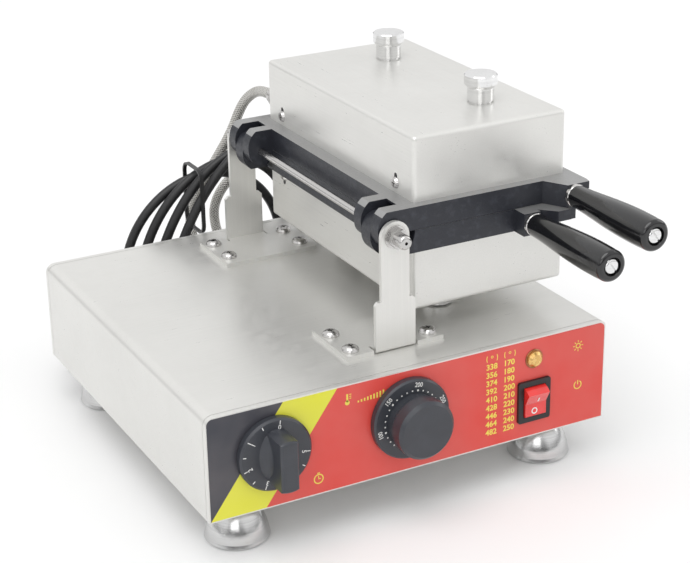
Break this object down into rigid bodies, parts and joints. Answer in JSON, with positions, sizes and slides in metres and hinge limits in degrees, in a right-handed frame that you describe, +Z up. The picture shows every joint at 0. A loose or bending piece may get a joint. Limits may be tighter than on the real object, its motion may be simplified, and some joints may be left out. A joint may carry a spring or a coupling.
{
  "type": "countertop walnut cookie maker",
  "caption": "Countertop cooker with hinged cast moulds that flip over a steel base, revolving grips, timer, thermostat and rocker switch.",
  "frame": {"origin": "on the worktop, under the centre of the appliance without its cords", "axes": "+X to the cook's right, +Y away from the cook, +Z up; the grips point along -Y"},
  "size_m": [0.3, 0.4391, 0.2672],
  "materials": {
    "stainless_sheet": "fine brushed",
    "fastener_steel": "machined",
    "cast_mould": "dark cast with light machined faces",
    "polished_aluminium": "polished",
    "black_phenolic": "glossy moulded",
    "knob_black": "satin moulded",
    "label_film": "printed film",
    "switch_black": "moulded",
    "rocker_red": "glossy translucent",
    "lamp_amber": "translucent lens",
    "lamp_ring": "satin",
    "insulation_fibre": "felted ceramic fibre",
    "heater_tube": "oxidised",
    "control_case": "moulded",
    "conduit_braid": "braided wire",
    "cord_rubber": "satin sheath"
  },
  "bodies": {
    "base": {"base_shell": "stainless_sheet", "front_panel": "stainless_sheet", "front_label": "label_film", "rear_panel": "stainless_sheet", "bottom_plate": "stainless_sheet", "casing_screws": "fastener_steel", "feet": "polished_aluminium", "foot_bolts": "fastener_steel", "front_post": "stainless_sheet", "rear_post": "stainless_sheet", "post_screws": "fastener_steel", "post_nuts": "fastener_steel", "hinge_rod": "fastener_steel", "rod_washers": "fastener_steel", "rod_nuts": "fastener_steel", "timer_body": "control_case", "thermostat_body": "control_case", "switch_housing": "switch_black", "lamp_bezel": "lamp_ring", "lamp_lens": "lamp_amber", "terminal_block": "control_case", "hose_glands": "fastener_steel", "cord_gland": "cord_rubber", "power_cord": "cord_rubber", "cord_coil": "cord_rubber", "cord_tail": "cord_rubber", "plug": "cord_rubber", "cord_tie": "cord_rubber", "upper_hose": "conduit_braid", "lower_hose": "conduit_braid"},
    "lower_half": {"lower_mould": "cast_mould", "lower_cover": "stainless_sheet", "lower_cover_screws": "fastener_steel", "lower_heater": "heater_tube", "lower_insulation": "insulation_fibre", "lower_foot_knobs": "polished_aluminium", "lower_knob_nuts": "fastener_steel", "lower_handle_spindle": "fastener_steel", "lower_handle_collar": "fastener_steel", "lower_hose_fitting": "fastener_steel"},
    "lower_grip": {"lower_grip": "black_phenolic"},
    "upper_half": {"upper_mould": "cast_mould", "upper_cover": "stainless_sheet", "upper_cover_screws": "fastener_steel", "upper_heater": "heater_tube", "upper_insulation": "insulation_fibre", "upper_foot_knobs": "polished_aluminium", "upper_knob_nuts": "fastener_steel", "upper_handle_spindle": "fastener_steel", "upper_handle_collar": "fastener_steel", "upper_hose_fitting": "fastener_steel"},
    "upper_grip": {"upper_grip": "black_phenolic"},
    "timer": {"timer_knob": "knob_black", "timer_shaft": "fastener_steel"},
    "thermostat": {"thermostat_knob": "knob_black", "thermostat_shaft": "fastener_steel"},
    "rocker": {"rocker": "rocker_red"}
  },
  "joints": [
    {"name": "mould_flip", "type": "hinge", "parent": "base", "child": "lower_half", "pos_m": [0.002, 0.0264, 0.187], "axis": [0, -1, 0], "range_deg": [0, 179.5], "deforming": ["lower_hose", "upper_hose"]},
    {"name": "upper_open", "type": "hinge", "parent": "lower_half", "child": "upper_half", "pos_m": [0.002, 0.0264, 0.187], "axis": [0, 1, 0], "range_deg": [-179.5, 0], "deforming": ["upper_hose"]},
    {"name": "timer_turn", "type": "hinge", "parent": "base", "child": "timer", "pos_m": [-0.1048, -0.1204, 0.073], "axis": [0, 1, 0], "range_deg": [0, 280]},
    {"name": "thermostat_turn", "type": "hinge", "parent": "base", "child": "thermostat", "pos_m": [-0.0062, -0.1204, 0.073], "axis": [0, 1, 0], "range_deg": [-125, 160]},
    {"name": "switch_rock", "type": "hinge", "parent": "base", "child": "rocker", "pos_m": [0.0915, -0.1202, 0.0608], "axis": [-1, 0, 0], "range_deg": [0, 27]},
    {"name": "lower_grip_spin", "type": "hinge", "parent": "lower_half", "child": "lower_grip", "pos_m": [0.104, -0.1436, 0.1789], "axis": [0, 1, 0], "continuous": true},
    {"name": "upper_grip_spin", "type": "hinge", "parent": "upper_half", "child": "upper_grip", "pos_m": [0.1335, -0.1436, 0.1951], "axis": [0, 1, 0], "continuous": true}
  ]
}
